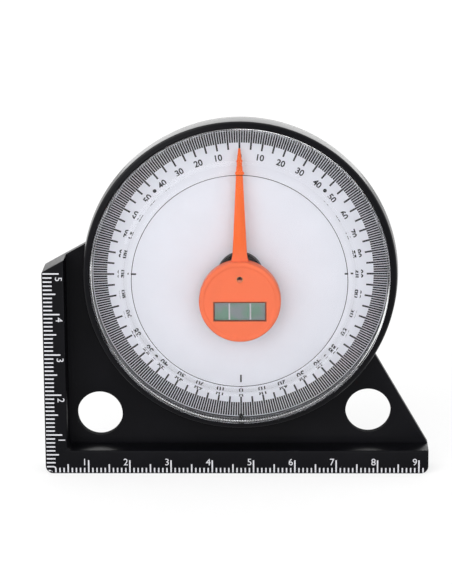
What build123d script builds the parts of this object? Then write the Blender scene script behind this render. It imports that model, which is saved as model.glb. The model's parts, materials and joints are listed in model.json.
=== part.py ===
from build123d import *
import os
from math import cos, radians, sin, tan

os.makedirs("parts", exist_ok=True)

# Magnetic angle level, millimetres.
# +Z is up, the dial faces -Y and the origin is the middle of the box at the base face.

# Body: an L of two measuring edges, a thin web between them and the round drum.
base_length = 92.8
body_depth = 9.5
lip_height = 5.8
side_width = 5.4
side_height = 50.05
side_slant = 29.0
end_slant = 60.0
web_thickness = 2.5
base_corner = 1.8
top_corner = 0.8
edge_ease = 0.35
inner_round = 0.6

# Drum and its seats for the lens and the dial.
pivot_from_left = 47.5
pivot_z = 49.0
drum_radius = 37.8
drum_ease = 0.5
drum_taper_depth = 5.6
drum_taper_inset = 3.3
rim_width = 1.2
lens_seat_depth = 1.0
dial_ledge = 1.05
dial_depth = 3.5
dial_thickness = 0.8
dial_shoulder = 1.2
post_radius = 6.2
rib_count = 6
rib_width = 1.2
key_width = 1.1
key_height = 1.0

# Hanging holes in the web.
hole_radius = 5.5
hole_left = 12.95
hole_left_z = 13.2
hole_right = 14.5
hole_right_z = 13.9

# Lens: a flat flange with a skirt round it and a raised flat-topped centre.
# Its inner slope is steeper than the outer one.
lens_wall = 1.2
lens_flange = 1.3
lens_rise = 5.3
lens_proud = 1.9
lens_top_radius = 25.9
lens_slope_run = 2.9
lens_inner_inset = 0.4
lens_inner_run = 2.35
lens_top_ease = 0.2
lens_foot_ease = 0.3
lens_edge_ease = 0.6

# Pivot.
hub_radius = 5.5
hub_flange = 2.3
hub_stem_radius = 3.0
hub_stem_length = 2.7
pin_radius = 0.5
pin_head_radius = 0.65
pin_head_height = 0.45
pin_grip = 2.4
washer_radius = 1.5
washer_thickness = 0.35
bush_radius = 1.4
screw_head_radius = 2.3
screw_head_height = 1.4
screw_radius = 1.0
screw_tip_gap = 0.3
screw_recess = 1.8
cross_width = 0.6
cross_length = 2.6
cross_depth = 0.8

# Pendulum with its needle, vial and ballast.
disc_radius = 9.75
disc_drop = 5.5
disc_front = 2.8
disc_back = 0.7
disc_ease = 0.5
disc_rim = 1.2
disc_dish = 0.2
needle_root = 6.0
needle_waist = 26.5
needle_tip = 30.8
needle_root_width = 3.35
needle_waist_width = 1.4
needle_tip_width = 0.5
needle_root_front = 1.9
needle_root_flank = 0.65
needle_tip_flank = 0.15
needle_inset = 2.0
needle_lift = 1.4
needle_tip_depth = 0.8
vial_length = 12.0
vial_height = 4.15
vial_depth = 2.7
vial_drop = 7.8
vial_bore_radius = 1.1
vial_end_wall = 0.9
vial_line_offset = 2.5
vial_line_width = 0.44
vial_line_depth = 0.1
plug_length = 0.9
bubble_radius = 0.55
bubble_length = 4.4
bubble_travel = 2.2
bubble_film = 0.16
bubble_ease = 0.3
ballast_length = 8.0
ballast_height = 2.6
ballast_depth = 2.4
ballast_drop = 12.1
ballast_round = 0.8

# Magnets set in the two measuring edges.
magnet_radius = 2.5
magnet_depth = 2.4
magnet_recess = 0.1
base_magnet_inset = 10.0
base_magnet_pitch = 14.0
side_magnet_low = 14.0
side_magnet_high = 38.0

# Named clearances.
glue_gap = 0.05
seat_gap = 0.1
driver_gap = 0.4
notch_gap = 0.3
running_gap = 0.03
axial_play = 0.05
bubble_gap = 0.04

# Derived levels along Y, front to back.
total_depth = body_depth + lens_rise
y_lens = -total_depth / 2
y_face = y_lens + lens_rise
y_back = total_depth / 2
y_web = y_back - web_thickness
y_flange = y_face - lens_proud
y_under = y_flange + lens_flange
y_lens_seat = y_face + lens_seat_depth
y_dial = y_face + dial_depth
y_shoulder = y_dial + dial_thickness
y_hub = y_dial - hub_flange
y_screw_seat = y_back - screw_recess
y_disc_front = y_face - disc_front
y_disc_back = y_face + disc_back
y_washer = y_hub - axial_play - washer_thickness
y_bush_back = y_washer - axial_play
y_middle = (y_face + y_back) / 2

# Derived positions across the face.
x_left = -base_length / 2
x_right = base_length / 2
pivot_x = x_left + pivot_from_left
disc_z = pivot_z - disc_drop
vial_z = pivot_z - vial_drop
ballast_z = pivot_z - ballast_drop
lens_radius = drum_radius - rim_width
dial_wall = lens_radius - dial_ledge
cavity_radius = dial_wall - dial_shoulder
drum_axis = Axis((pivot_x, 0, pivot_z), (0, 1, 0))


def level(y):
    return Plane(origin=(0, y, 0), x_dir=(1, 0, 0), z_dir=(0, -1, 0))


def prism(sketch, y_front, y_rear):
    return extrude(level(y_rear) * sketch, amount=y_rear - y_front)


def rod(radius, y_front, y_rear, x=pivot_x, z=pivot_z):
    middle = (y_front + y_rear) / 2
    return Pos(x, middle, z) * Rot(90, 0, 0) * Cylinder(radius, y_rear - y_front)


def block(length, y_front, y_rear, height, x, z, corner=0):
    outline = RectangleRounded(length, height, corner) if corner else Rectangle(length, height)
    return prism(Pos(x, z) * outline, y_front, y_rear)


def save(shape, name):
    solid = shape.solid() if len(shape.solids()) == 1 else Compound(shape.solids())
    solid.label = name
    export_step(solid, os.path.join("parts", name + ".step"))


# Outline of the web, reaching under the drum on both sides.
slant_rise = tan(radians(side_slant))
reach = pivot_from_left - drum_radius / 2
end_run = (pivot_z - lip_height) / tan(radians(end_slant))
web_points = [
    (x_left, 0),
    (x_right, 0),
    (x_right, lip_height),
    (x_right - end_run, pivot_z),
    (x_left + reach, side_height + reach * slant_rise),
    (x_left, side_height),
]
web_outline = make_face(Polyline(*web_points, close=True))
base_corners = [v for v in web_outline.vertices() if v.Y < 1]
web_outline = fillet(base_corners, base_corner)
top_corners = [v for v in web_outline.vertices() if v.X < x_left + 1 and v.Y > side_height - 1]
web_outline = fillet(top_corners, top_corner)

# Measuring edges: the same outline, kept only along the base and the left side.
window_width = base_length
window_height = pivot_z + drum_radius
window = Rectangle(window_width, window_height, align=(Align.MIN, Align.MIN))
window = fillet([v for v in window.vertices() if v.X < 1 and v.Y < 1], inner_round)
edges_outline = web_outline - Pos(x_left + side_width, lip_height) * window

body = prism(web_outline, y_web, y_back) + prism(edges_outline, y_face, y_back)

# The foot of each edge is rounded into the web.
foot = [e for e in body.edges() if abs(e.center().Y - y_web) < 0.01 and e.length > 5]
foot = [e for e in foot if abs(e.center().X - x_left - side_width) < 0.1 or abs(e.center().Z - lip_height) < 0.1]
body = fillet(foot, inner_round)
front_edges = [e for e in body.edges() if abs(e.center().Y - y_face) < 0.01]
body = chamfer(front_edges, edge_ease)

# Drum, tapered towards its back.
drum = rod(drum_radius, y_face, y_back)
drum = chamfer(drum.edges().group_by(Axis.Y)[0], drum_ease)
drum_back_edge = drum.edges().group_by(Axis.Y)[-1]
drum_back = drum.faces().sort_by(Axis.Y)[-1]
drum = chamfer(drum_back_edge, drum_taper_inset, drum_taper_depth, reference=drum_back)
body = body + drum


def rib(angle):
    length = cavity_radius + glue_gap
    outline = Rectangle(length, rib_width, align=(Align.MIN, Align.CENTER))
    return prism(Pos(pivot_x, pivot_z) * Rot(0, 0, angle) * outline, y_shoulder, y_web + glue_gap)


# Seats for the lens and the dial, and the ribbed space behind the dial.
body -= rod(lens_radius, y_face - 1, y_lens_seat)
body -= rod(dial_wall, y_face, y_shoulder)
body -= rod(cavity_radius, y_dial, y_web)
post = rod(post_radius, y_shoulder, y_web + glue_gap)
ribs = [rib(angle) for angle in range(0, 360, 360 // rib_count)]
body = body + post + ribs

# Locating key at the bottom of the dial.
key_base = Rectangle(key_width, dial_ledge, align=(Align.CENTER, Align.MAX))
key_tip = make_face(Polyline((-key_width / 2, 0), (key_width / 2, 0), (0, key_height), close=True))
key_z = pivot_z - dial_wall + glue_gap
key_sketch = Pos(pivot_x, key_z) * (key_base + key_tip)
body += prism(key_sketch, y_dial - seat_gap, y_shoulder + glue_gap) & rod(lens_radius, y_face, y_back)

# Bore for the hub stem and the recess for its screw.
stem_bore = hub_stem_radius + glue_gap
y_stem_end = y_dial + hub_stem_length
body -= rod(stem_bore, y_face, y_stem_end + seat_gap)
body -= rod(screw_radius + seat_gap, y_face, y_back + 1)
body -= rod(screw_head_radius + driver_gap, y_screw_seat, y_back + 1)

# Hanging holes.
hole_places = [(x_left + hole_left, hole_left_z), (x_right - hole_right, hole_right_z)]
for hole_x, hole_z in hole_places:
    body -= rod(hole_radius, y_web - 1, y_back + 1, hole_x, hole_z)

# Magnet pockets in the base and in the left side.
pocket_radius = magnet_radius + glue_gap
pocket_depth = magnet_depth + magnet_recess + glue_gap
base_magnet_x = [
    x_left + base_magnet_inset,
    x_left + base_magnet_inset + base_magnet_pitch,
    x_right - base_magnet_inset - base_magnet_pitch,
    x_right - base_magnet_inset,
]
side_magnet_z = [side_magnet_low, side_magnet_high]


def upright(radius, low, high, x):
    return Pos(x, y_middle, (low + high) / 2) * Cylinder(radius, high - low)


def sideways(radius, low, high, z):
    return Pos((low + high) / 2, y_middle, z) * Rot(0, 90, 0) * Cylinder(radius, high - low)


for x in base_magnet_x:
    body -= upright(pocket_radius, -1, pocket_depth, x)
for z in side_magnet_z:
    body -= sideways(pocket_radius, x_left - 1, x_left + pocket_depth, z)

save(body, "housing")

# Dial plate with its centre hole and key notch.
dial = rod(dial_wall - seat_gap, y_dial, y_shoulder)
dial -= rod(stem_bore, y_dial - 1, y_shoulder + 1)
notch = make_face(
    Polyline(
        (-key_width / 2 - seat_gap, 0),
        (key_width / 2 + seat_gap, 0),
        (0, key_height + notch_gap),
        close=True,
    )
)
dial -= prism(Pos(pivot_x, key_z) * notch, y_dial - 1, y_shoulder + 1)
save(dial, "dial_plate")

# Lens, its skirt standing on the ledge round the dial.
lens_edge = lens_radius - glue_gap
lens_foot_radius = lens_top_radius + lens_slope_run
y_ceiling = y_lens + lens_wall
outer_skin = [
    (0, y_lens),
    (lens_top_radius, y_lens),
    (lens_foot_radius, y_flange),
    (lens_edge, y_flange),
    (lens_edge, y_lens_seat),
]
ceiling_radius = lens_top_radius - lens_inner_inset
inner_skin = [
    (dial_wall, y_lens_seat),
    (dial_wall, y_under),
    (ceiling_radius + lens_inner_run, y_under),
    (ceiling_radius, y_ceiling),
    (0, y_ceiling),
]
lens_profile = make_face(Polyline(*[(pivot_x + r, y) for r, y in outer_skin + inner_skin], close=True))


def profile_corner(face, radius, y):
    return [v for v in face.vertices() if abs(v.X - pivot_x - radius) < 0.01 and abs(v.Y - y) < 0.01]


lens_profile = chamfer(profile_corner(lens_profile, lens_top_radius, y_lens), lens_top_ease)
lens_profile = chamfer(profile_corner(lens_profile, lens_foot_radius, y_flange), lens_foot_ease)
lens_profile = chamfer(profile_corner(lens_profile, lens_edge, y_flange), lens_edge_ease)
lens = revolve(Pos(0, 0, pivot_z) * lens_profile, drum_axis)
save(lens, "lens")

# Hub, screwed down from the back; its flange holds the dial.
y_pin_end = y_hub + pin_grip
hub = rod(hub_radius, y_hub, y_dial)
hub = chamfer(hub.edges().group_by(Axis.Y)[0], edge_ease)
hub += rod(hub_stem_radius, y_dial, y_stem_end)
hub -= rod(pin_radius + glue_gap / 2, y_hub - 1, y_pin_end + glue_gap)
y_screw_end = y_pin_end + screw_tip_gap
hub -= rod(screw_radius + glue_gap / 2, y_screw_end - glue_gap, y_stem_end + 1)
save(hub, "pivot_hub")

screw = rod(screw_head_radius, y_screw_seat, y_screw_seat + screw_head_height)
screw = chamfer(screw.edges().group_by(Axis.Y)[-1], edge_ease)
screw += rod(screw_radius, y_screw_end, y_screw_seat)
y_cross = y_screw_seat + screw_head_height - cross_depth
for size in ((cross_length, cross_width), (cross_width, cross_length)):
    screw -= block(size[0], y_cross, y_back, size[1], pivot_x, pivot_z)
save(screw, "hub_screw")

washer = rod(washer_radius, y_washer, y_washer + washer_thickness)
washer -= rod(pin_radius + seat_gap, y_washer - 1, y_hub)
save(washer, "pivot_washer")

# Pin: its head keeps the pendulum on.
y_pin_front = y_disc_front - axial_play
y_pin_shoulder = y_pin_front + pin_head_height
pin = rod(pin_head_radius, y_pin_front, y_pin_shoulder)
pin += rod(pin_radius, y_pin_shoulder, y_pin_end)
save(pin, "pivot_pin")

# Pendulum disc with its rim.
y_bush_front = y_pin_shoulder + axial_play
disc = rod(disc_radius, y_disc_front, y_disc_back, z=disc_z)
disc = chamfer(disc.edges().group_by(Axis.Y)[0], disc_ease)
disc -= rod(disc_radius - disc_rim, y_disc_front - 1, y_disc_front + disc_dish, z=disc_z)

# Needle: a low ridged taper that drops to run just over the dial.
y_needle_back = y_dial - needle_lift
y_needle_front = y_needle_back - needle_tip_depth


def ridge(height, width, y_rear, y_flank, y_crest):
    half = width / 2
    points = [(-half, y_rear), (half, y_rear), (half, y_flank), (0, y_crest), (-half, y_flank)]
    return Pos(pivot_x, 0, pivot_z + height) * make_face(Polyline(*points, close=True))


y_root = y_face - needle_root_front
y_root_flank = y_root + needle_root_flank
y_tip_flank = y_needle_front + needle_tip_flank
sections = [
    ridge(needle_inset, needle_root_width, y_disc_back, y_root_flank, y_root),
    ridge(needle_root, needle_root_width, y_disc_back, y_root_flank, y_root),
    ridge(needle_waist, needle_waist_width, y_needle_back, y_tip_flank, y_needle_front),
    ridge(needle_tip, needle_tip_width, y_needle_back, y_tip_flank, y_needle_front),
]
needle = loft(sections, ruled=True)
pendulum = disc + needle

# Pockets: bush from behind, pin head, vial from the front, ballast from behind.
pendulum -= rod(bush_radius + glue_gap, y_bush_front, y_disc_back + 1)
pendulum -= rod(pin_head_radius + seat_gap, y_disc_front - 1, y_bush_front + glue_gap)
y_vial_front = y_disc_front + disc_dish + seat_gap
y_vial_back = y_vial_front + vial_depth
vial_window = (vial_length + 2 * glue_gap, vial_height + 2 * glue_gap)
y_window = y_vial_back + glue_gap
pendulum -= block(vial_window[0], y_disc_front - 1, y_window, vial_window[1], pivot_x, vial_z)
y_ballast_front = y_disc_back - ballast_depth - seat_gap
pocket_length = ballast_length + 2 * glue_gap
pocket_height = ballast_height + 2 * glue_gap
pendulum -= block(
    pocket_length, y_ballast_front, y_disc_back + 1, pocket_height, pivot_x, ballast_z, ballast_round
)
save(pendulum, "pendulum_body")

bush = rod(bush_radius, y_bush_front, y_bush_back)
bush -= rod(pin_radius + running_gap, y_bush_front - 1, y_bush_back + 1)
save(bush, "pendulum_bush")

ballast = block(
    ballast_length, y_ballast_front + glue_gap, y_disc_back - glue_gap, ballast_height, pivot_x, ballast_z,
    ballast_round,
)
save(ballast, "ballast_weight")

# Vial: a clear block bored from the right, with a plug, the fluid and its bubble.
y_vial_axis = (y_vial_front + y_vial_back) / 2


def tube(radius, x_from, x_to, rise=0):
    middle = ((x_from + x_to) / 2, y_vial_axis, vial_z + rise)
    return Pos(*middle) * Rot(0, 90, 0) * Cylinder(radius, x_to - x_from)


x_vial_left = pivot_x - vial_length / 2
x_vial_right = pivot_x + vial_length / 2
x_bore = x_vial_left + vial_end_wall
x_plug = x_vial_right - plug_length
vial = block(vial_length, y_vial_front, y_vial_back, vial_height, pivot_x, vial_z)
vial -= tube(vial_bore_radius, x_bore, x_vial_right + 1)
for side in (-1, 1):
    line_x = pivot_x + side * vial_line_offset
    y_line = y_vial_front + vial_line_depth
    vial -= block(vial_line_width, y_vial_front - 1, y_line, vial_height + 1, line_x, vial_z)
save(vial, "vial_body")

save(tube(vial_bore_radius - glue_gap / 2, x_plug, x_vial_right), "vial_plug")

# The bubble rides in a straight channel along the top of the fluid.
bubble_rise = vial_bore_radius - bubble_radius - bubble_film
channel_half = bubble_length / 2 + bubble_travel + bubble_gap


def channel(radius, half_length):
    return tube(radius, pivot_x - half_length, pivot_x + half_length, bubble_rise)


fluid = tube(vial_bore_radius - glue_gap / 2, x_bore + glue_gap, x_plug - glue_gap)
fluid -= channel(bubble_radius + bubble_gap, channel_half)
save(fluid, "vial_fluid")
bubble = channel(bubble_radius, bubble_length / 2)
bubble = chamfer(bubble.edges().filter_by(GeomType.CIRCLE), bubble_ease)
save(bubble, "vial_bubble")

# Magnets.
base_names = ["far_left", "left", "right", "far_right"]
for name, x in zip(base_names, base_magnet_x):
    magnet = upright(magnet_radius, magnet_recess, magnet_recess + magnet_depth, x)
    save(magnet, "base_magnet_" + name)
for name, z in zip(["lower", "upper"], side_magnet_z):
    magnet = sideways(magnet_radius, x_left + magnet_recess, x_left + magnet_recess + magnet_depth, z)
    save(magnet, "side_magnet_" + name)
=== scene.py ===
import bmesh
import bpy
import json
from math import cos, exp, pi, radians, sin, tan
from mathutils import Matrix, Vector

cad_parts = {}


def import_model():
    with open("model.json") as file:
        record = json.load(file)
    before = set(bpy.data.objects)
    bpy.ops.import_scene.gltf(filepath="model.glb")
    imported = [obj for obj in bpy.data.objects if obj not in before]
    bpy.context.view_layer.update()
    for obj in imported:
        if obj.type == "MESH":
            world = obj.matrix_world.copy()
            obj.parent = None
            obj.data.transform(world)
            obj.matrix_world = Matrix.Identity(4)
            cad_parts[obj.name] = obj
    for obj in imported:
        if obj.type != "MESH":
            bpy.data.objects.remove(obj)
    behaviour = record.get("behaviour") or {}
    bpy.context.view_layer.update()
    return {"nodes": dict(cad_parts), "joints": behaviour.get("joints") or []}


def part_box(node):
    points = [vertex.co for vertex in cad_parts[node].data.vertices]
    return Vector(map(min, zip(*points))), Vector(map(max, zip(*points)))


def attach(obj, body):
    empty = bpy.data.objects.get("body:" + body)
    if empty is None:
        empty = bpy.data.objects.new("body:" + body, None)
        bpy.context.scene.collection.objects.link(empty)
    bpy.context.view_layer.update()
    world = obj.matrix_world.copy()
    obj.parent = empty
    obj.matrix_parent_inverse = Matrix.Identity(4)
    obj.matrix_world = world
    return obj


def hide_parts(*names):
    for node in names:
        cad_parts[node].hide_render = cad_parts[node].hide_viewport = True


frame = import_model()
MM = 0.001


def half_width(low, high):
    return (high.x - low.x) / 2


# Places and sizes read from the frame, in metres.
body_low, body_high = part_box("housing")
dial_low, dial_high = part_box("dial_plate")
hub_low, hub_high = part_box("pivot_hub")
pin_low, pin_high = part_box("pivot_pin")
screw_low, screw_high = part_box("hub_screw")
swing_low, swing_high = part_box("pendulum_body")
bush_low, bush_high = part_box("pendulum_bush")
vial_low, vial_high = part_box("vial_body")
fluid_low, fluid_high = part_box("vial_fluid")
bubble_low, bubble_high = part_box("vial_bubble")
ballast_low, ballast_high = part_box("ballast_weight")
swing = next(j for j in frame["joints"] if j["name"] == "pendulum_swing")
pivot = Vector(swing["pos_m"])
x_left = body_low.x
x_right = body_high.x
y_face = body_low.y
y_back = body_high.y
y_shoulder = dial_high.y
y_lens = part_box("lens")[0].y
drum_radius = body_high.z - pivot.z
dial_radius = half_width(dial_low, dial_high)
disc_radius = half_width(swing_low, swing_high)
disc_centre = Vector((pivot.x, 0, swing_low.z + disc_radius))
needle_tip = swing_high.z - pivot.z

# Sizes that the frame doesn't give, the same as in the part.
lip_height = 5.8 * MM
side_width = 5.4 * MM
side_height = 50.05 * MM
side_slant = radians(29)
end_slant = radians(60)
web_thickness = 2.5 * MM
base_corner = 1.8 * MM
rim_width = 1.2 * MM
lens_seat_depth = 1 * MM
dial_ledge = 1.05 * MM
dial_shoulder = 1.2 * MM
post_radius = 6.2 * MM
hole_radius = 5.5 * MM
hole_left = 12.95 * MM
hole_left_height = 13.2 * MM
hole_right = 14.5 * MM
hole_right_height = 13.9 * MM
hub_stem_radius = 3 * MM
hub_stem_length = 2.7 * MM
screw_recess = 1.8 * MM
screw_head_height = 1.4 * MM
screw_radius = 1 * MM
cross_width = 0.6 * MM
cross_length = 2.6 * MM
cross_depth = 0.8 * MM
driver_gap = 0.4 * MM
glue_gap = 0.05 * MM
seat_gap = 0.1 * MM
pin_radius = 0.5 * MM
pin_head_height = 0.45 * MM
key_width = 1.1 * MM
key_height = 1 * MM
disc_thickness = 3.5 * MM
disc_rim = 1.2 * MM
disc_dish = 0.2 * MM
disc_ease = 0.5 * MM
needle_inset = 2 * MM
needle_root = 6 * MM
needle_waist = 26.5 * MM
needle_root_width = 3.35 * MM
needle_waist_width = 1.4 * MM
needle_tip_width = 0.5 * MM
needle_root_front = 1.9 * MM
needle_lift = 1.4 * MM
needle_tip_depth = 0.8 * MM
vial_line_offset = 2.5 * MM
vial_line_depth = 0.1 * MM

# Sizes that the picture shows more finely than the part has them.
side_corner = 0.8 * MM
inner_corner = 1.2 * MM
edge_ease = 0.4 * MM
thin_ease = 0.15 * MM
drum_parting = 3.8 * MM
drum_front_inset = 0.34 * MM
drum_back_inset = 0.76 * MM
rim_crown = 0.7 * MM
rim_inner_radius = 35.8 * MM
rim_top_width = 0.4 * MM
lens_lip = 0.4 * MM
lens_lip_lift = 0.4 * MM
# Width and inset of the painted shade line round the edge of the lens's raised centre.
painted_lens_shade_width = 0.15 * MM
painted_lens_shade_inset = 0.1 * MM
lens_wall = 1.5 * MM
lens_top_radius = 25.8 * MM
lens_slope_run = 3.02 * MM
lens_inner_inset = -0.2 * MM
lens_inner_run = 2.05 * MM
lens_knee = 0.56
lens_knee_depth = 0.35 * MM
lens_knee_round = 1 * MM
lens_inner_knee = 0.7
lens_inner_knee_depth = 0.15 * MM
lens_flange = 1.0 * MM
lens_proud = 2.88 * MM
lens_top_round = 0.24 * MM
lens_foot_round = 0.17 * MM
lens_ceiling_round = 0.4 * MM
pin_head_round = 0.14 * MM
screw_dome = 0.55 * MM
screw_flat = 0.72
screw_dome_round = 1.2 * MM
needle_flare = 0.55 * MM
needle_flare_reach = 0.7 * MM
needle_crest = 0.08
needle_flank = 0.65 * MM
needle_tip_flank = 0.15 * MM
disc_step = 0.1 * MM
disc_step_run = 0.25 * MM
vial_line_width = 0.36 * MM
vial_line_margin = 0.1 * MM
vial_line_ease = 0.01 * MM
ink = 0.02 * MM

# Corners that a mould or a tool leaves, from sharp to broad.
sharp = 0.08 * MM
slight = 0.1 * MM
crisp = 0.15 * MM
small = 0.2 * MM
dulled = 0.25 * MM
eased = 0.3 * MM
soft = 0.5 * MM
broad = 0.6 * MM

# Two faces that meet at more than this angle keep a sharp edge between them.
real_edge = radians(32)
needle_edge = radians(12)

# How far a tool that cuts runs past what it cuts.
overrun = 1 * MM

# Levels that follow from them.
y_web = y_back - web_thickness
y_flange = y_face - lens_proud
y_dial = dial_low.y
y_disc_front = swing_low.y
y_disc_back = y_disc_front + disc_thickness
dial_wall = drum_radius - rim_width - dial_ledge
cavity_radius = dial_wall - dial_shoulder
hole_places = [
    Vector((x_left + hole_left, 0, hole_left_height)),
    Vector((x_right - hole_right, 0, hole_right_height)),
]


# Trees of nodes.

class Wire:
    """One output socket. Arithmetic on it adds Math nodes."""

    def __init__(self, tree, socket):
        self.tree = tree
        self.socket = socket

    def maths(self, operation, first, second):
        return self.tree.node("ShaderNodeMath", {"operation": operation}, {0: first, 1: second})

    def __add__(self, other):
        return self.maths("ADD", self, other)

    def __radd__(self, other):
        return self.maths("ADD", other, self)

    def __sub__(self, other):
        return self.maths("SUBTRACT", self, other)

    def __rsub__(self, other):
        return self.maths("SUBTRACT", other, self)

    def __mul__(self, other):
        return self.maths("MULTIPLY", self, other)

    def __rmul__(self, other):
        return self.maths("MULTIPLY", other, self)

    def __truediv__(self, other):
        return self.maths("DIVIDE", self, other)

    def __pow__(self, other):
        return self.maths("POWER", self, other)

    def __abs__(self):
        return self.maths("ABSOLUTE", self, 0)

    def __mod__(self, other):
        return self.maths("MODULO", self, other)

    def __lt__(self, other):
        return self.maths("LESS_THAN", self, other)

    def larger(self, other):
        return self.maths("MAXIMUM", self, other)


class Tree:
    """A node tree that is filled one node at a time."""

    def __init__(self, tree):
        self.tree = tree

    def node(self, kind, settings=None, inputs=None, output=0):
        made = self.tree.nodes.new(kind)
        for key, value in (settings or {}).items():
            if key == "stops":
                self.set_stops(made.color_ramp, value)
            else:
                setattr(made, key, value)
        for key, value in (inputs or {}).items():
            for item in value if isinstance(value, list) else [value]:
                if isinstance(item, Wire):
                    self.tree.links.new(item.socket, made.inputs[key])
                else:
                    made.inputs[key].default_value = item
        return Wire(self, made.outputs[output]) if made.outputs else None

    def set_stops(self, ramp, stops):
        while len(ramp.elements) < len(stops):
            ramp.elements.new(0.5)
        for element, (position, value) in zip(ramp.elements, stops):
            element.position = position
            element.color = (value, value, value, 1)


class Finish(Tree):
    """A material: one Principled shader fed by patterns on Object coordinates."""

    def __init__(self, name, **constants):
        self.material = bpy.data.materials.new(name)
        self.material.use_nodes = True
        super().__init__(self.material.node_tree)
        self.tree.nodes.clear()
        own = {key.replace("_", " "): value for key, value in constants.items()}
        self.surface = self.node("ShaderNodeBsdfPrincipled", {}, own)
        self.output = self.tree.nodes.new("ShaderNodeOutputMaterial")
        self.show(self.surface)
        self.place = self.node("ShaderNodeTexCoord", output="Object")

    def show(self, surface):
        self.tree.links.new(surface.socket, self.output.inputs["Surface"])

    def noise(self, size, detail=2.0, stretch=(1, 1, 1)):
        place = self.node("ShaderNodeMapping", {}, {"Vector": self.place, "Scale": stretch})
        inputs = {"Vector": place, "Scale": 1 / size, "Detail": detail}
        return self.node("ShaderNodeTexNoise", {}, inputs)

    def ramp(self, value, *stops):
        return self.node("ShaderNodeValToRGB", {"stops": stops}, {"Fac": value})

    def mix(self, factor, first, second):
        inputs = {0: factor, 6: first, 7: second}
        return self.node("ShaderNodeMix", {"data_type": "RGBA"}, inputs, output=2)

    def part(self, axis):
        """One coordinate of the place."""
        return self.node("ShaderNodeSeparateXYZ", {}, {"Vector": self.place}, output="XYZ".index(axis))

    def rise(self, value, start, end):
        """Goes smoothly from 0 to 1 between two values."""
        settings = {"interpolation_type": "SMOOTHSTEP"}
        inputs = {"Value": value, "From Min": start, "From Max": end}
        return self.node("ShaderNodeMapRange", settings, inputs)

    def band(self, value, start, full, fade, end):
        """One between two values, and nothing beyond two others."""
        return self.rise(value, start, full) * (1 - self.rise(value, fade, end))

    def off_axis(self, centre):
        """Distance from an axis that runs from front to back."""
        x = self.part("X") - centre.x
        z = self.part("Z") - centre.z
        return (x * x + z * z) ** 0.5

    def bump(self, height, distance):
        return self.node("ShaderNodeBump", {}, {"Height": height, "Distance": distance})

    def feed(self, **links):
        """Links patterns to the shader's own inputs."""
        shader = self.surface.socket.node
        for key, wire in links.items():
            self.tree.links.new(wire.socket, shader.inputs[key.replace("_", " ")])
        return self.material


class Growth(Tree):
    """A Geometry Nodes tree with named inputs that ends in real geometry with a material."""

    def __init__(self, name, **inputs):
        group = bpy.data.node_groups.new(name, "GeometryNodeTree")
        group.interface.new_socket("Geometry", in_out="OUTPUT", socket_type="NodeSocketGeometry")
        for label, kind in inputs.items():
            group.interface.new_socket(label, in_out="INPUT", socket_type="NodeSocket" + kind)
        super().__init__(group)
        self.entry = group.nodes.new("NodeGroupInput")

    def given(self, label):
        return Wire(self, self.entry.outputs[label])

    def vector(self, x, y, z):
        return self.node("ShaderNodeCombineXYZ", {}, {"X": x, "Y": y, "Z": z})

    def moved(self, geometry, **change):
        return self.node("GeometryNodeTransform", {}, {"Geometry": geometry, **change})

    def bar(self, width, depth, low, high):
        """An upright bar between two heights."""
        cube = self.node("GeometryNodeMeshCube", {}, {"Size": self.vector(width, depth, high - low)})
        return self.moved(cube, Translation=self.vector(0.0, 0.0, (high + low) * 0.5))

    def row(self, count, step):
        """Points in a straight line."""
        inputs = {"Count": count, "Offset": step}
        return self.node("GeometryNodeMeshLine", {"mode": "OFFSET"}, inputs)

    def placed(self, points, instance, **change):
        inputs = {"Points": points, "Instance": instance, **change}
        return self.node("GeometryNodeInstanceOnPoints", {}, inputs)

    def end(self, geometry):
        real = self.node("GeometryNodeRealizeInstances", {}, {"Geometry": geometry})
        inputs = {"Geometry": real, "Material": self.given("material")}
        inked = self.node("GeometryNodeSetMaterial", {}, inputs)
        output = self.tree.nodes.new("NodeGroupOutput")
        self.tree.links.new(inked.socket, output.inputs[0])
        return self

    def grow(self, name, **values):
        carrier = new_object(name + "_carrier", bpy.data.meshes.new(name + "_carrier"))
        modifier = carrier.modifiers.new("growth", "NODES")
        modifier.node_group = self.tree
        for item in self.tree.interface.items_tree:
            if item.name in values:
                modifier[item.identifier] = values[item.name]
        return settled(carrier, name)


# Mesh making.

def new_object(name, data):
    made = bpy.data.objects.new(name, data)
    bpy.context.scene.collection.objects.link(made)
    return made


def settled(source, name):
    """A plain mesh object of what the source looks like with its modifiers, which it then replaces."""
    bpy.context.view_layer.update()
    graph = bpy.context.evaluated_depsgraph_get()
    mesh = bpy.data.meshes.new_from_object(source.evaluated_get(graph), depsgraph=graph)
    bpy.data.objects.remove(source)
    mesh.name = name
    return new_object(name, mesh)


def tidy(piece, merge=0.002 * MM, angle=real_edge):
    """Closes seams, turns every face outwards and smooths all but the real edges."""
    bm = bmesh.new()
    bm.from_mesh(piece.data)
    bmesh.ops.remove_doubles(bm, verts=bm.verts, dist=merge)
    bmesh.ops.recalc_face_normals(bm, faces=bm.faces)
    bm.to_mesh(piece.data)
    bm.free()
    piece.data.shade_smooth()
    piece.data.set_sharp_from_angle(angle=angle)
    return piece


def rounded(corners, steps=6):
    """Points of a closed outline. A corner is (x, y) or (x, y, radius)."""
    points = []
    for index, corner in enumerate(corners):
        here = Vector(corner[:2])
        radius = corner[2] if len(corner) > 2 else 0
        if radius == 0:
            points.append(here)
            continue
        before = (Vector(corners[index - 1][:2]) - here).normalized()
        after = (Vector(corners[(index + 1) % len(corners)][:2]) - here).normalized()
        half = before.angle(after) / 2
        centre = here + (before + after).normalized() * radius / sin(half)
        start = here + before * radius / tan(half) - centre
        end = here + after * radius / tan(half) - centre
        turn = pi - 2 * half
        for step in range(steps + 1):
            share = step / steps
            points.append(centre + (start * sin((1 - share) * turn) + end * sin(share * turn)) / sin(turn))
    return points


def circle(x, y, radius, count=96):
    angles = [2 * pi * k / count for k in range(count)]
    return [(x + radius * sin(a), y + radius * cos(a)) for a in angles]


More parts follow.
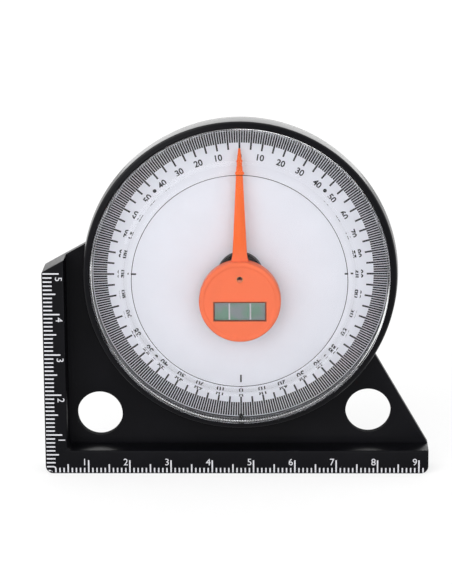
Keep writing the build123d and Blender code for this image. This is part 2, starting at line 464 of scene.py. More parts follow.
def lathe(name, corners, centre=pivot, along="Y", segments=192, steps=6):
    """Turns a closed outline of (radius, place along the axis) corners."""
    axis = {"X": Vector((1, 0, 0)), "Y": Vector((0, 1, 0)), "Z": Vector((0, 0, 1))}[along]
    base = Vector([c * (1 - a) for c, a in zip(centre, axis)])
    side = axis.orthogonal().normalized()
    across = axis.cross(side)
    bm = bmesh.new()
    rings = []
    for radius, place in rounded(corners, steps):
        count = segments if radius > 1e-7 else 1
        angles = [2 * pi * k / count for k in range(count)]
        spokes = [(side * sin(a) + across * cos(a)) * radius for a in angles]
        rings.append([bm.verts.new(base + axis * place + spoke) for spoke in spokes])
    for index, second in enumerate(rings):
        first = rings[index - 1]
        if len(first) == len(second) == 1:
            continue
        for k in range(segments):
            loop = [first[k % len(first)], first[(k + 1) % len(first)]]
            loop += [second[(k + 1) % len(second)], second[k % len(second)]]
            bm.faces.new(list(dict.fromkeys(loop)))
    mesh = bpy.data.meshes.new(name)
    bm.to_mesh(mesh)
    bm.free()
    return tidy(new_object(name, mesh))


def plate(name, outlines, y_front, y_rear, ease):
    """A flat piece with eased edges, from closed (x, z) outlines. All but the first are holes."""
    curve = bpy.data.curves.new(name, "CURVE")
    curve.dimensions = "2D"
    curve.fill_mode = "BOTH"
    curve.extrude = (y_rear - y_front) / 2 - ease
    curve.bevel_depth = ease
    curve.bevel_resolution = 3
    curve.offset = -ease
    for outline in outlines:
        spline = curve.splines.new("POLY")
        spline.points.add(len(outline) - 1)
        for point, (x, z) in zip(spline.points, outline):
            point.co = (x, z, 0, 1)
        spline.use_cyclic_u = True
    made = settled(new_object(name, curve), name)
    upright = Matrix.Translation((0, (y_front + y_rear) / 2, 0)) @ Matrix.Rotation(pi / 2, 4, "X")
    made.data.transform(upright)
    return tidy(made)


def block(name, low, high, ease=0.0):
    """A straight-sided block between two corners, with eased edges if asked."""
    bm = bmesh.new()
    bmesh.ops.create_cube(bm, size=1)
    for vertex in bm.verts:
        vertex.co = [a + (b - a) * (c + 0.5) for a, b, c in zip(low, high, vertex.co)]
    if ease:
        bmesh.ops.bevel(bm, geom=bm.edges, offset=ease, segments=3, profile=0.5, affect="EDGES")
    mesh = bpy.data.meshes.new(name)
    bm.to_mesh(mesh)
    bm.free()
    return tidy(new_object(name, mesh))


def joined(name, *pieces):
    """One object out of several, which it replaces."""
    bm = bmesh.new()
    for piece in pieces:
        bm.from_mesh(piece.data)
        bpy.data.objects.remove(piece)
    mesh = bpy.data.meshes.new(name)
    bm.to_mesh(mesh)
    bm.free()
    mesh.shade_smooth()
    mesh.set_sharp_from_angle(angle=real_edge)
    return new_object(name, mesh)


def combined(target, operation, *tools):
    """Adds or takes away the tools, one after another."""
    for tool in tools:
        modifier = target.modifiers.new(tool.name, "BOOLEAN")
        modifier.operation = operation
        modifier.solver = "EXACT"
        modifier.object = tool
    made = settled(target, target.name)
    for tool in tools:
        bpy.data.objects.remove(tool)
    return tidy(made)


def finished(piece, material, body, slot, *nodes):
    """Gives a piece its material and its body, and hides the nodes that it stands for. The slot is not
    used.
    """
    piece.data.materials.clear()
    piece.data.materials.append(material)
    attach(piece, body)
    if nodes:
        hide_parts(*nodes)
    return piece


# Finishes.

def moulded(name, shade, roughness, specular, grain=0.35 * MM, depth=0.004 * MM, drift=0.25, **extra):
    """Moulded plastic: a fine grain, slow drifts of gloss and a few faint rubs."""
    finish = Finish(name, Specular_IOR_Level=specular, **extra)
    cloud = finish.noise(9 * MM, 3)
    rubs = finish.noise(1.2 * MM, 4, (0.25, 1, 2.5))
    lighter = tuple(min(1, c * (1 + drift)) for c in shade[:3]) + (1,)
    tint = finish.mix(finish.ramp(cloud, (0.35, 0), (0.7, 1)), shade, lighter)
    gloss = roughness + 0.1 * (cloud - 0.5) + 0.06 * finish.ramp(rubs, (0.55, 0), (0.75, 1))
    normal = finish.bump(finish.noise(grain, 2), depth)
    finish.feed(Base_Color=tint, Roughness=gloss, Normal=normal)
    return finish, tint, gloss


def moulding(*given):
    return moulded(*given)[0].material


def polished_black():
    """The black moulding, polished round the drum and its rim, and matt in the two holes."""
    black = (0.003, 0.003, 0.004, 1)
    finish, _, gloss = moulded("black_moulding", black, 0.34, 0.06, Coat_Roughness=0.12)
    for centre in hole_places:
        beyond = finish.off_axis(centre) - hole_radius
        gloss = gloss + 0.5 * (1 - finish.rise(beyond, 0.05 * MM, 0.15 * MM))
    reach = finish.off_axis(pivot)
    outside = finish.band(reach - drum_radius, -0.8 * MM, -0.5 * MM, 0.04 * MM, 0.1 * MM)
    inner = finish.band(reach - rim_inner_radius, -0.35 * MM, -0.25 * MM, 0, 0.2 * MM)
    ahead = 1 - finish.rise(finish.part("Y"), y_web - 1 * MM, y_web)
    return finish.feed(Roughness=gloss, Coat_Weight=(0.4 * outside + inner) * ahead)


def pendulum_orange():
    """Orange moulding: purer towards the thin needle, with a painted shadow round the vial's window."""
    disc_shade = (0.97, 0.185, 0.072, 1)
    needle_shade = (0.98, 0.15, 0.02, 1)
    window_painted_shadow = (0.12, 0.03, 0.015, 1)
    finish, tint, _ = moulded("orange_moulding", disc_shade, 0.38, 0.12, 0.3 * MM, 0.002 * MM, 0.04)
    upper = finish.rise(finish.part("Z"), pivot.z + 2 * MM, pivot.z + 9 * MM)
    tint = finish.mix(upper, tint, needle_shade)
    middle = (vial_low + vial_high) / 2
    half = (vial_high - vial_low) / 2
    # Painted shadow: the orange turns near black brown within a few tenths of a millimetre of the vial's
    # window, where the gap shades it.
    across = abs(finish.part("X") - middle.x) - half.x
    along = abs(finish.part("Z") - middle.z) - half.z
    edge = 1 - finish.rise(across.larger(along), 0.2 * MM, 0.45 * MM)
    return finish.feed(Base_Color=finish.mix(edge * 0.9, tint, window_painted_shadow))


def rivet_steel():
    """Dull steel, with a painted shadow on its upper half, where the hole shades it, and a painted orange
    reflection of the disc on the rest.
    """
    finish = Finish("pin_steel", Metallic=1.0)
    # Painted shadow and painted reflection: near black above the pivot, and an orange-pink below it that
    # stands in for the disc's reflection.
    painted_lit_lower = finish.rise(finish.part("Z"), pivot.z + 0.05 * MM, pivot.z - 0.15 * MM)
    tint = finish.mix(painted_lit_lower, (0.05, 0.02, 0.02, 1), (0.7, 0.22, 0.13, 1))
    return finish.feed(Base_Color=tint, Roughness=0.35 + 0.2 * finish.noise(0.2 * MM))


def cloudy(name, first, second, ior, through):
    """Coloured liquid or moulding, half clear, with slow drifts between two shades."""
    finish = Finish(name, IOR=ior, Transmission_Weight=through)
    drift = finish.ramp(finish.noise(3.2 * MM, 2), (0.38, 0), (0.6, 1))
    return finish.feed(Base_Color=finish.mix(drift, first, second), Roughness=0.08 + 0.1 * drift)


def clear(name, shade, ior, smear, glint=1.0):
    """Clear moulding, with very slight handling smears. A glint under 1 is an anti-glare coating."""
    glare = (glint, glint, glint, 1)
    finish = Finish(name, Base_Color=shade, IOR=ior, Transmission_Weight=1.0, Specular_Tint=glare)
    marks = finish.ramp(finish.noise(14 * MM, 4, (1, 1, 0.6)), (0.45, 0), (0.8, 1))
    return finish.feed(Roughness=smear * marks)


def metal(name, shade, roughness, stretch):
    """Machined or plated metal with fine tool lines."""
    finish = Finish(name, Metallic=1.0)
    lines = finish.noise(0.12 * MM, 3, stretch)
    darker = tuple(c * 0.8 for c in shade[:3]) + (1,)
    tint = finish.mix(finish.noise(2 * MM, 3), shade, darker)
    gloss = roughness + 0.12 * (lines - 0.5)
    return finish.feed(Base_Color=tint, Roughness=gloss, Normal=finish.bump(lines, 0.003 * MM))


def printed(name, shade, wear):
    """Printed ink, a little thin in places."""
    finish = Finish(name, Specular_IOR_Level=0.3)
    thin = finish.ramp(finish.noise(0.5 * MM, 3), (0.4, 0), (0.8, 1))
    worn_grey = 0.35
    faded = tuple(c + (worn_grey - c) * wear for c in shade[:3]) + (1,)
    return finish.feed(Base_Color=finish.mix(thin, shade, faded), Roughness=0.5 + 0.15 * thin)


black_abs = polished_black()
black_hub = moulding("black_hub_moulding", (0.006, 0.005, 0.005, 1), 0.4, 0.15)
white_dial = moulding("white_dial_sheet", (0.79, 0.8, 0.86, 1), 0.5, 0.3, 0.2 * MM, 0.001 * MM, 0.03)
orange = pendulum_orange()
clear_lens = clear("clear_lens_moulding", (0.985, 0.99, 1, 1), 1.53, 0.004, 0.25)
clear_vial = cloudy("vial_acrylic", (0.22, 0.4, 0.3, 1), (0.32, 0.37, 0.38, 1), 1.49, 0.35)
green_fluid = cloudy("green_fluid", (0.25, 0.58, 0.45, 1), (0.35, 0.52, 0.5, 1), 1.37, 0.5)
air_bubble = clear("air_bubble", (1, 1, 1, 1), 0.75, 0.01)
nickel = metal("nickel_plate", (0.62, 0.6, 0.57, 1), 0.3, (1, 1, 1))
steel = rivet_steel()
zinc = metal("zinc_plate", (0.6, 0.6, 0.62, 1), 0.35, (1, 1, 1))
brass = metal("turned_brass", (0.7, 0.5, 0.2, 1), 0.3, (1, 6, 1))
nylon = moulding("nylon_washer", (0.8, 0.8, 0.75, 1), 0.45, 0.5)
vial_stopper = moulding("vial_stopper", (0.45, 0.62, 0.55, 1), 0.35, 0.5)
white_ink = printed("white_ink", (0.5, 0.5, 0.53, 1), 0.3)
black_ink = printed("black_ink", (0.006, 0.006, 0.01, 1), 0.08)


# Housing.

def web_outline():
    """The thin wall's corners. Its two slanted sides run on under the drum."""
    rise = tan(side_slant)
    reach = pivot.x - x_left - drum_radius / 2
    run = (pivot.z - lip_height) / tan(end_slant)
    return [
        (x_left, 0, base_corner),
        (x_right, 0, base_corner),
        (x_right, lip_height),
        (x_right - run, pivot.z),
        (x_left + reach, side_height + reach * rise),
        (x_left, side_height, side_corner),
    ]


def edges_outline():
    """The base edge and the side edge, which stand forward of the thin wall."""
    return [
        (x_left, 0, base_corner),
        (x_right, 0, base_corner),
        (x_right, lip_height),
        (x_left + side_width, lip_height, inner_corner),
        (x_left + side_width, side_height + side_width * tan(side_slant)),
        (x_left, side_height, side_corner),
    ]


def drum():
    """A hollow round body, drafted both ways from its parting line, its rim rising to the lens."""
    return lathe("drum", [
        (0, y_back),
        (drum_radius - drum_back_inset, y_back, broad),
        (drum_radius, y_face + drum_parting, eased),
        (drum_radius - drum_front_inset, y_face, soft),
        (rim_inner_radius + rim_top_width, y_face - rim_crown, eased),
        (rim_inner_radius, y_face - rim_crown, crisp),
        (rim_inner_radius, y_face + lens_seat_depth),
        (dial_wall, y_face + lens_seat_depth),
        (dial_wall, y_shoulder),
        (cavity_radius, y_shoulder),
        (cavity_radius, y_web, soft),
        (post_radius, y_web, soft),
        (post_radius, y_shoulder),
        (0, y_shoulder),
    ], segments=256)


def rod(name, radius, y_front, y_rear):
    corners = [(0, y_front), (radius, y_front), (radius, y_rear), (0, y_rear)]
    return lathe(name, corners, segments=64)


def magnet_places():
    """Names of the magnets in the base edge and in the side edge."""
    base = [n for n in frame["nodes"] if n.startswith("base_magnet")]
    side = [n for n in frame["nodes"] if n.startswith("side_magnet")]
    return sorted(base), sorted(side)


def magnet_pocket(node, along, face):
    """The bore for a magnet, from outside the face to just past the magnet."""
    low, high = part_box(node)
    radius = (high.y - low.y) / 2 + glue_gap
    start = face - overrun
    end = high["XYZ".index(along)] + glue_gap
    corners = [(0, start), (radius, start), (radius, end), (0, end)]
    return lathe(node + "_pocket", corners, (low + high) / 2, along, 48)


def hub_bores():
    """Bores for the hub's stem and the screw, and the recess for the screw's head."""
    y_seat = y_back - screw_recess
    head_radius = half_width(screw_low, screw_high)
    return [
        rod("stem_bore", hub_stem_radius + glue_gap, y_face, y_dial + hub_stem_length + seat_gap),
        rod("screw_bore", screw_radius + seat_gap, y_face, y_back + overrun),
        rod("screw_recess", head_radius + driver_gap, y_seat, y_back + overrun),
    ]


def housing():
    """Drum, web and raised measuring edges in one moulding."""
    holes = [circle(place.x, place.z, hole_radius) for place in hole_places]
    web = plate("web", [rounded(web_outline())] + holes, y_web, y_back, thin_ease)
    edges = plate("edges", [rounded(edges_outline())], y_face, y_back, edge_ease)
    body = combined(drum(), "UNION", web, edges)
    body.name = "housing_moulding"
    base, side = magnet_places()
    pockets = [magnet_pocket(node, "Z", 0) for node in base]
    pockets += [magnet_pocket(node, "X", x_left) for node in side]
    body = combined(body, "DIFFERENCE", *hub_bores(), *pockets)
    return joined("housing_moulding", body, dial_key())


def dial_key():
    """The small triangle that locates the dial at its lowest point."""
    foot = pivot.z - dial_wall
    outline = [
        (pivot.x - key_width / 2, foot - dial_ledge / 2),
        (pivot.x + key_width / 2, foot - dial_ledge / 2),
        (pivot.x + key_width / 2, foot),
        (pivot.x, foot + key_height),
        (pivot.x - key_width / 2, foot),
    ]
    return plate("dial_key", [outline], y_dial - seat_gap, y_shoulder, 0.05 * MM)


finished(housing(), black_abs, "body", "black_abs", "housing")


# Lens, dial plate, hub and pin.

def slope(start, end, share, depth):
    """The rounded corner of a slope that flattens towards its foot."""
    reach = start[0] + (end[0] - start[0]) * share
    level = start[1] + (end[1] - start[1]) * share
    return reach, level + depth, lens_knee_round


def lens():
    """A lid: a flat flange with a lip, and a raised centre with sloping sides."""
    lens_edge = rim_inner_radius - glue_gap
    y_rest = y_face - rim_crown + lens_lip_lift
    y_ceiling = y_lens + lens_wall
    y_under = y_flange + lens_flange
    top = (lens_top_radius, y_lens, lens_top_round)
    foot = (lens_top_radius + lens_slope_run, y_flange, lens_foot_round)
    ceiling = (lens_top_radius - lens_inner_inset, y_ceiling, lens_ceiling_round)
    under = (ceiling[0] + lens_inner_run, y_under, soft)
    return lathe("clear_lens", [
        (0, y_lens),
        top,
        slope(top, foot, lens_knee, lens_knee_depth),
        foot,
        (lens_edge, y_flange, broad),
        (lens_edge, y_rest),
        (lens_edge - lens_lip, y_rest),
        (lens_edge - lens_lip, y_under, eased),
        under,
        slope(ceiling, under, lens_inner_knee, lens_inner_knee_depth),
        ceiling,
        (0, y_ceiling),
    ], segments=256, steps=8)


def dial():
    """The round sheet, with a notch for the key and a hole for the hub's stem."""
    sheet = lathe("dial_sheet", [
        (0, y_dial),
        (dial_radius, y_dial, sharp),
        (dial_radius, y_shoulder),
        (0, y_shoulder),
    ], segments=256)
    foot = pivot.z - dial_wall - seat_gap
    notch = [
        (pivot.x - key_width / 2 - 2 * seat_gap, foot),
        (pivot.x + key_width / 2 + 2 * seat_gap, foot),
        (pivot.x, foot + key_height + 4 * seat_gap),
    ]
    notch_tool = plate("notch", [notch], y_dial - overrun, y_shoulder + overrun, 0)
    centre_hole = rod("centre_hole", hub_stem_radius + glue_gap, y_dial - overrun, y_shoulder + overrun)
    return combined(sheet, "DIFFERENCE", notch_tool, centre_hole)


def hub():
    """A flange on the dial with a stem through it, bored for the pin and the screw."""
    radius = half_width(hub_low, hub_high)
    y_bottom = y_dial + hub_stem_length
    bore = pin_radius + glue_gap / 2
    return lathe("hub_flange", [
        (bore, hub_low.y),
        (radius, hub_low.y, eased),
        (radius, y_dial),
        (hub_stem_radius, y_dial),
        (hub_stem_radius, y_bottom, small),
        (screw_radius + glue_gap / 2, y_bottom),
        (screw_radius + glue_gap / 2, pin_high.y + glue_gap),
        (bore, pin_high.y + glue_gap),
    ], segments=96)


def pin():
    """A headed pin that the pendulum turns on."""
    head = half_width(pin_low, pin_high)
    shoulder = pin_low.y + pin_head_height
    return lathe("pivot_rivet", [
        (0, pin_low.y),
        (head, pin_low.y, pin_head_round),
        (head, shoulder),
        (pin_radius, shoulder),
        (pin_radius, pin_high.y, slight),
        (0, pin_high.y),
    ], segments=48)


def screw():
    """A domed screw with a cross, driven in from the back."""
    radius = half_width(screw_low, screw_high)
    y_seat = y_back - screw_recess
    y_top = y_seat + screw_head_height
    made = lathe("back_screw", [
        (0, screw_low.y),
        (screw_radius, screw_low.y, eased),
        (screw_radius, y_seat),
        (radius, y_seat, slight),
        (radius, y_top - screw_dome, small),
        (radius * screw_flat, y_top, screw_dome_round),
        (0, y_top),
    ], segments=96)
    tools = []
    for width, height in ((cross_length, cross_width), (cross_width, cross_length)):
        low = (pivot.x - width / 2, y_top - cross_depth, pivot.z - height / 2)
        high = (pivot.x + width / 2, y_top + overrun, pivot.z + height / 2)
        tools.append(block("cross", low, high))
    return combined(made, "DIFFERENCE", *tools)


def lens_line():
    """A fine ring of black ink round the edge of the raised centre: painted shade for the dark line that
    the edge's refraction shows.
    """
    outer = lens_top_radius - painted_lens_shade_inset
    inner = outer - painted_lens_shade_width
    return lathe("painted_lens_shade_ring", [
        (inner, y_lens),
        (outer, y_lens),
        (outer, y_lens + ink),
        (inner, y_lens + ink),
    ], segments=256)


finished(lens(), clear_lens, "body", "clear_lens", "lens")
# Painted shade on the lens's top, round the edge of the raised centre.
finished(lens_line(), black_ink, "body", "black_abs")
finished(dial(), white_dial, "body", "white_print_plate", "dial_plate")
finished(hub(), black_hub, "body", "black_hub", "pivot_hub")
finished(pin(), steel, "body", "pin_steel", "pivot_pin")
finished(screw(), zinc, "body", "zinc_screw", "hub_screw")


# Pendulum: disc, needle and vial.

def needle_width(height):
    """Width along the needle: a straight taper with a small flare where it leaves the disc."""
    taper = (needle_root_width - needle_waist_width) / (needle_waist - needle_root)
    width = needle_root_width - (height - needle_root) * taper
    if height > needle_waist:
        share = (height - needle_waist) / (needle_tip - needle_waist)
        width = needle_waist_width + (needle_tip_width - needle_waist_width) * share
    edge = disc_radius - (pivot.z - disc_centre.z)
    return width + needle_flare * exp(-max(0, height - edge) / needle_flare_reach)


def needle_section(height):
    """A flat back, two upright sides and a roof with a narrow crest."""
    y_root = y_face - needle_root_front
    y_rear_tip = y_dial - needle_lift
    y_tip = y_rear_tip - needle_tip_depth
    share = min(1, max(0, (height - needle_root) / (needle_waist - needle_root)))
    half = needle_width(height) / 2
    ridge = half * needle_crest
    crest = y_root + (y_tip - y_root) * share
    flank = crest + needle_flank + (needle_tip_flank - needle_flank) * share
    rear = y_disc_back + (y_rear_tip - y_disc_back) * share
    return [(-half, rear), (half, rear), (half, flank), (ridge, crest), (-ridge, crest), (-half, flank)]


def needle():
    """A roof-shaped taper, close over the dial at its tip."""
    stations = 40
    bm = bmesh.new()
    rows = []
    for index in range(stations + 1):
        height = needle_inset + (needle_tip - needle_inset) * index / stations
        section = needle_section(height)
        rows.append([bm.verts.new((pivot.x + x, y, pivot.z + height)) for x, y in section])
    for first, second in zip(rows, rows[1:]):
        for k in range(len(first)):
            after = (k + 1) % len(first)
            bm.faces.new((first[k], first[after], second[after], second[k]))
    bm.faces.new(rows[0])
    bm.faces.new(rows[-1])
    mesh = bpy.data.meshes.new("needle")
    bm.to_mesh(mesh)
    bm.free()
    return tidy(new_object("needle", mesh), angle=needle_edge)


def disc():
    """A disc with a shallow dish inside its rim."""
    dish = y_disc_front + disc_dish
    rim = disc_radius - disc_rim
    return lathe("pendulum_disc", [
        (0, dish),
        (rim - disc_step, dish, eased),
        (rim + disc_step_run, y_disc_front, eased),
        (disc_radius, y_disc_front, disc_ease),
        (disc_radius, y_disc_back, crisp),
        (0, y_disc_back),
    ], disc_centre)


def pendulum():
    """Disc and needle in one moulding, open for the vial, the ballast, the bush and the pin's head."""
    window = grown(vial_low, vial_high, glue_gap)
    pocket = grown(ballast_low, ballast_high, glue_gap)
    y_before = y_disc_front - overrun
    y_behind = y_disc_back + overrun
    bush_radius = half_width(bush_low, bush_high) + glue_gap
    head_radius = half_width(pin_low, pin_high) + seat_gap
    tools = [
        block("vial_window", (window[0].x, y_before, window[0].z), window[1]),
        block("ballast_pocket", pocket[0], (pocket[1].x, y_behind, pocket[1].z)),
        rod("bush_bore", bush_radius, bush_low.y, y_behind),
        rod("head_bore", head_radius, y_before, bush_low.y + glue_gap),
    ]
    whole = combined(disc(), "UNION", needle())
    made = combined(whole, "DIFFERENCE", *tools)
    made.name = "pendulum_needle"
    return made


def grown(low, high, gap):
    margin = Vector((gap, gap, gap))
    return low - margin, high + margin


def vial():
    """A clear block with a bore from its right end for the fluid and the stopper."""
    body = block("vial_block", vial_low, vial_high, sharp)
    centre = (fluid_low + fluid_high) / 2
    radius = (fluid_high.z - fluid_low.z) / 2 + glue_gap / 2
    bore = lathe("vial_bore", [
        (0, fluid_low.x - glue_gap),
        (radius, fluid_low.x - glue_gap, eased),
        (radius, vial_high.x + overrun),
        (0, vial_high.x + overrun),
    ], centre, "X", 64)
    return combined(body, "DIFFERENCE", bore)


def vial_lines():
    """White lines either side of the middle of the vial."""
    lines = []
    for side in (-1, 1):
        x = pivot.x + side * vial_line_offset
        low = (x - vial_line_width / 2, vial_low.y - ink, vial_low.z + vial_line_margin)
        high = (x + vial_line_width / 2, vial_low.y + vial_line_depth, vial_high.z - vial_line_margin)
        lines.append(block("line", low, high, vial_line_ease))
    return joined("vial_lines", *lines)


def fluid():
    centre = (fluid_low + fluid_high) / 2
    radius = (fluid_high.z - fluid_low.z) / 2
    return lathe("green_fluid_fill", [
        (0, fluid_low.x),
        (radius, fluid_low.x, dulled),
        (radius, fluid_high.x, slight),
        (0, fluid_high.x),
    ], centre, "X", 64)


def bubble():
    centre = (bubble_low + bubble_high) / 2
    radius = (bubble_high.z - bubble_low.z) / 2
    bulge = radius * 0.97
    return lathe("air_bubble_body", [
        (0, bubble_low.x),
        (radius, bubble_low.x, bulge),
        (radius, bubble_high.x, bulge),
        (0, bubble_high.x),
    ], centre, "X", 48, 8)


finished(pendulum(), orange, "pendulum", "orange_plastic", "pendulum_body")
finished(vial(), clear_vial, "pendulum", "vial_acrylic", "vial_body")
finished(vial_lines(), white_ink, "pendulum", "white_print_plate")
finished(fluid(), green_fluid, "pendulum", "vial_fluid", "vial_fluid")
finished(bubble(), air_bubble, "bubble", "vial_bubble", "vial_bubble")


# Magnets.

def magnet(node, along):
    low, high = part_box(node)
    axis = "XYZ".index(along)
    radius = (high.y - low.y) / 2
    corners = [
        (0, low[axis]),
        (radius, low[axis], dulled),
        (radius, high[axis], dulled),
        (0, high[axis]),
    ]
    piece = lathe(node + "_disc", corners, (low + high) / 2, along, 64)
    return finished(piece, nickel, "body", "magnet_nickel", node)


base_magnets, side_magnets = magnet_places()
for node in base_magnets:
    magnet(node, "Z")
for node in side_magnets:
    magnet(node, "X")


# Parts kept as the frame has them, with their own finish.

def refinish(node, material):
    for slot in frame["nodes"][node].material_slots:
        slot.material = material


for node, material in {
    "pivot_washer": nylon,
    "pendulum_bush": brass,
    "ballast_weight": zinc,
    "vial_plug": vial_stopper,
}.items():
    refinish(node, material)


# Printed scales.

tick_outer = 35.2 * MM
tick_inner = 31.9 * MM
tick_long_inner = 30.25 * MM
tick_width = 0.41 * MM
tick_long_width = 0.42 * MM
number_radius = 28.65 * MM
number_height = 1.52 * MM
number_boldness = 0.055 * MM
cap_share = 0.73
dot_radius = 0.45 * MM
bar_middle = 25.88 * MM
bar_length = 1.85 * MM
bar_width = 0.4 * MM


def round_scale():
    """Ticks round a circle, every fifth one longer, each growing inwards from the outer radius."""
    tree = Growth(
        "round_scale", count="Int", every="Int", outer="Float", inner="Float", long_inner="Float",
        width="Float", long_width="Float", depth="Float", centre="Vector", material="Material",
    )
    points = tree.row(tree.given("count"), (0, 0, 0))
    index = tree.node("GeometryNodeInputIndex")
    turn = index * (2 * pi) / tree.given("count")
    turned = tree.node("FunctionNodeEulerToRotation", {}, {0: tree.vector(0.0, turn, 0.0)})
    is_long = index % tree.given("every") < 0.5
    depth = tree.given("depth")
    parts = []
    for chosen, inner, width in (
        (1 - is_long, tree.given("inner"), tree.given("width")),
        (is_long, tree.given("long_inner"), tree.given("long_width")),
    ):
        tick = tree.bar(width, depth, inner, tree.given("outer"))
        parts.append(tree.placed(points, tick, Selection=chosen, Rotation=turned))
    scale = tree.node("GeometryNodeJoinGeometry", {}, {"Geometry": parts})
    return tree.end(tree.moved(scale, Translation=tree.given("centre")))


def straight_scale():
    """Ruler ticks along a line, with longer ones at every fifth and tenth."""
    tree = Growth(
        "straight_scale", count="Int", first="Int", pitch="Float", short="Float", middle="Float",
        long="Float", width="Float", depth="Float", start="Vector", turn="Vector", material="Material",
    )
    points = tree.row(tree.given("count"), tree.vector(tree.given("pitch"), 0.0, 0.0))
    number = tree.node("GeometryNodeInputIndex") + tree.given("first")
    fifth = number % 5 < 0.5
    tenth = number % 10 < 0.5
    short = tree.given("short")
    middle = tree.given("middle")
    length = short + fifth * (middle - short) + tenth * (tree.given("long") - middle)
    tick = tree.bar(tree.given("width"), tree.given("depth"), 0.0, 1.0)
    ticks = tree.placed(points, tick, Scale=tree.vector(1.0, 1.0, length))
    return tree.end(tree.moved(ticks, Translation=tree.given("start"), Rotation=tree.given("turn")))


def figure(text, height, x, y, z, turn, boldness=0.0):
    """One printed number on a face that looks to the front, turned clockwise about its middle."""
    curve = bpy.data.curves.new("figure", "FONT")
    curve.body = text
    curve.size = height / cap_share
    curve.align_x = "CENTER"
    curve.align_y = "CENTER"
    curve.extrude = ink / 2
    curve.offset = boldness
    curve.resolution_u = 4
    made = settled(new_object("figure", curve), "figure")
    xs = [v.co.x for v in made.data.vertices]
    ys = [v.co.y for v in made.data.vertices]
    middle = Matrix.Translation((-(min(xs) + max(xs)) / 2, -(min(ys) + max(ys)) / 2, 0))
    spin = Matrix.Rotation(-turn, 4, "Z") @ middle
    made.data.transform(Matrix.Translation((x, y, z)) @ Matrix.Rotation(pi / 2, 4, "X") @ spin)
    return made


def on_dial(radius, angle):
    """A place on the dial, by distance from the pivot and angle from the top."""
    return pivot.x + radius * sin(angle), pivot.z + radius * cos(angle)


def dial_figures():
    """Four runs of numbers from 0 to 90."""
    figures = []
    for degrees in range(0, 360, 10):
        angle = radians(degrees)
        value = min(degrees % 180, 180 - degrees % 180)
        x, z = on_dial(number_radius, angle)
        figures.append(figure(str(value), number_height, x, y_dial - ink / 2, z, angle, number_boldness))
    return joined("dial_figures", *figures)


def dial_marks():
    """Four index bars and four dots."""
    marks = []
    for quarter in range(4):
        angle = quarter * pi / 2
        x, z = on_dial(bar_middle, angle)
        size = (bar_width, bar_length) if quarter % 2 == 0 else (bar_length, bar_width)
        low = (x - size[0] / 2, y_dial - ink, z - size[1] / 2)
        high = (x + size[0] / 2, y_dial, z + size[1] / 2)
        marks.append(block("bar", low, high))
        x, z = on_dial(number_radius, angle + pi / 4)
        dot = [(0, y_dial - ink), (dot_radius, y_dial - ink), (dot_radius, y_dial), (0, y_dial)]
        marks.append(lathe("dot", dot, Vector((x, 0, z)), segments=24))
    return joined("dial_marks", *marks)


dial_scale = round_scale().grow(
    "dial_ticks", count=360, every=5, outer=tick_outer, inner=tick_inner, long_inner=tick_long_inner,
    width=tick_width, long_width=tick_long_width, depth=ink,
    centre=(pivot.x, y_dial - ink / 2, pivot.z), material=black_ink,
)
finished(dial_scale, black_ink, "body", "black_abs")
finished(dial_figures(), black_ink, "body", "black_abs")
finished(dial_marks(), black_ink, "body", "black_abs")

# Rulers: the base reads from just inside the left edge, the side from just under the base.
ruler_x = x_left + 0.48 * MM
ruler_z = -0.24 * MM
ruler_pitch = 1 * MM
ruler_width = 0.34 * MM
ruler_figure = 1.75 * MM
base_figure_shift = -0.98 * MM
base_figure_height = 2.95 * MM
side_figure_shift = -1.3 * MM
side_figure_inset = 4.1 * MM
base_last = 91
side_last = 50
corner_ticks = 2
base_tick = (1.48 * MM, 2.39 * MM, 3.4 * MM)
side_tick = (2.15 * MM, 3.0 * MM, 3.9 * MM)
ruler_margin = 0.3 * MM
y_ink = y_face - ink / 2


def ruler_row(name, count, first, lengths, start, turn):
    short, middle, long = lengths
    return straight_scale().grow(
        name, count=count, first=first, pitch=ruler_pitch, short=short, middle=middle, long=long,
        width=ruler_width, depth=ink, start=start, turn=turn, material=white_ink,
    )


def ruler_ticks():
    """Both rulers. The side's row starts at its last tick and runs down."""
    first = corner_ticks + 1
    base_start = (ruler_x + first * ruler_pitch, y_ink, ruler_margin)
    base_lengths = [length - ruler_margin for length in base_tick]
    base = ruler_row("base_ticks", base_last - corner_ticks, first, base_lengths, base_start, (0, 0, 0))
    side_start = (x_left + ruler_margin, y_ink, ruler_z + side_last * ruler_pitch)
    side = ruler_row("side_ticks", side_last - corner_ticks, 0, side_tick, side_start, (0, pi / 2, 0))
    corners = [corner_mark(2 * ruler_pitch, 0.4 * MM), corner_mark(ruler_pitch, 0.35 * MM)]
    return joined("ruler_ticks", base, side, *corners)


def corner_mark(reach, radius):
    """The first ticks of both rulers, joined by a rounded corner."""
    x_out = ruler_x + reach + ruler_width / 2
    z_out = ruler_z + reach + ruler_width / 2
    x_in = x_out - ruler_width
    z_in = z_out - ruler_width
    inset = ruler_margin + max(0, base_corner - reach) / 2
    x_start = x_left + inset
    z_start = inset
    outline = rounded([
        (x_start, z_in),
        (x_start, z_out),
        (x_out, z_out, radius + ruler_width),
        (x_out, z_start),
        (x_in, z_start),
        (x_in, z_in, radius),
    ])
    return plate("corner_mark", [outline], y_face - ink, y_face, 0)


def ruler_figures():
    """Centimetre numbers beside the long ticks."""
    figures = []
    for value in range(1, base_last // 10 + 1):
        x = ruler_x + value * 10 * ruler_pitch + base_figure_shift
        figures.append(figure(str(value), ruler_figure, x, y_ink, base_figure_height, 0))
    for value in range(1, side_last // 10 + 1):
        z = ruler_z + value * 10 * ruler_pitch + side_figure_shift
        x = x_left + side_figure_inset
        figures.append(figure(str(value), ruler_figure, x, y_ink, z, pi / 2))
    return joined("ruler_figures", *figures)


finished(ruler_ticks(), white_ink, "body", "white_print_plate")
finished(ruler_figures(), white_ink, "body", "white_print_plate")


# Floor, light and camera.

def colour_of(level):
    return (level, level, level, 1)


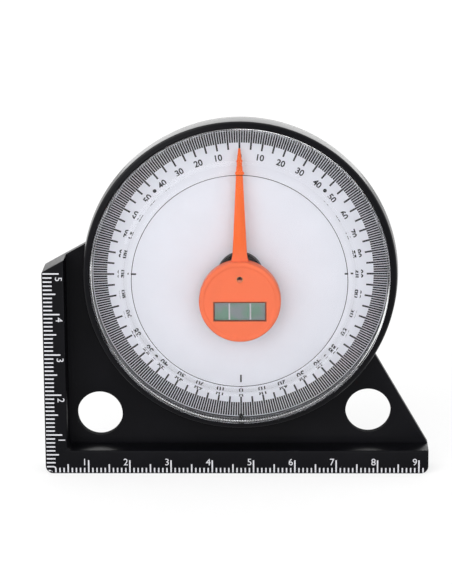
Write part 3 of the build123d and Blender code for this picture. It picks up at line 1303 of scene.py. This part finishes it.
def looked_at(tree):
    """One for rays that come from the camera, a gloss or something clear."""
    seen = tree.node("ShaderNodeLightPath", output="Is Camera Ray")
    for ray in ("Is Glossy Ray", "Is Transmission Ray"):
        seen = seen.larger(tree.node("ShaderNodeLightPath", output=ray))
    return seen


def floor():
    """White paper. Part of its white is its own, so that the shadow on it stays pale."""
    size = 4.0
    own_white = 0.7
    mesh = bpy.data.meshes.new("floor")
    corners = [(-size, -size, 0), (size, -size, 0), (size, size, 0), (-size, size, 0)]
    mesh.from_pydata(corners, [], [(0, 1, 2, 3)])
    sheet = new_object("floor", mesh)
    finish = Finish("floor_paper", Roughness=0.9, Specular_IOR_Level=0.1)
    finish.feed(Base_Color=finish.mix(finish.noise(0.3), colour_of(0.97), colour_of(0.95)))
    glow = finish.node("ShaderNodeEmission")
    shares = {0: own_white * looked_at(finish), 1: finish.surface, 2: glow}
    finish.show(finish.node("ShaderNodeMixShader", {}, shares))
    mesh.materials.append(finish.material)


def lamp(name, place, target, size, power):
    light = bpy.data.lights.new(name, "AREA")
    light.shape = "RECTANGLE"
    light.size, light.size_y = size
    light.energy = power
    made = new_object(name, light)
    made.location = place
    made.rotation_euler = (Vector(target) - Vector(place)).to_track_quat("-Z", "Y").to_euler()


def world():
    """Soft light from all round, seen as plain white."""
    sky = bpy.data.worlds.new("studio")
    bpy.context.scene.world = sky
    sky.use_nodes = True
    sky.node_tree.nodes.clear()
    tree = Tree(sky.node_tree)
    light = tree.node("ShaderNodeBackground", {}, {"Color": colour_of(0.95), "Strength": 0.88})
    seen = tree.node("ShaderNodeBackground", {}, {"Color": colour_of(1.0), "Strength": 1.0})
    mixed = tree.node("ShaderNodeMixShader", {}, {0: looked_at(tree), 1: light, 2: seen})
    tree.node("ShaderNodeOutputWorld", {}, {"Surface": mixed})


def camera():
    """The photograph's viewpoint: a long lens, a little above and to the right."""
    elevation = radians(13.2975)
    azimuth = radians(1.6682)
    roll = radians(-0.4546)
    distance = 662.01 * MM
    target = Vector((-2.258, 0, 45.277)) * MM + Vector((0, y_face, 0))
    photo_height = 584
    focal_pixels = 2773.15
    back = Vector((sin(azimuth) * cos(elevation), -cos(azimuth) * cos(elevation), sin(elevation)))
    level = (-back).cross(Vector((0, 0, 1))).normalized()
    over = level.cross(-back)
    right = level * cos(roll) + over * sin(roll)
    up = over * cos(roll) - level * sin(roll)
    place = target + back * distance
    data = bpy.data.cameras.new("camera")
    data.sensor_width = 36
    data.lens = focal_pixels * data.sensor_width / photo_height
    data.clip_start = 0.01
    made = new_object("camera", data)
    columns = Matrix((right, up, back)).transposed().to_4x4()
    made.matrix_world = Matrix.Translation(place) @ columns
    bpy.context.scene.camera = made


floor()
world()
lamp("key", (-0.7, -1.0, 0.65), (0, 0, 0.05), (1.2, 1.2), 13)
lamp("fill", (0.5, -1.4, 0.35), (0, 0, 0.05), (1.2, 0.8), 8)
lamp("rear", (0.1, 1.3, 0.45), (0, 0, 0.07), (1.4, 0.6), 6)
camera()
bpy.context.scene.view_settings.view_transform = "Standard"
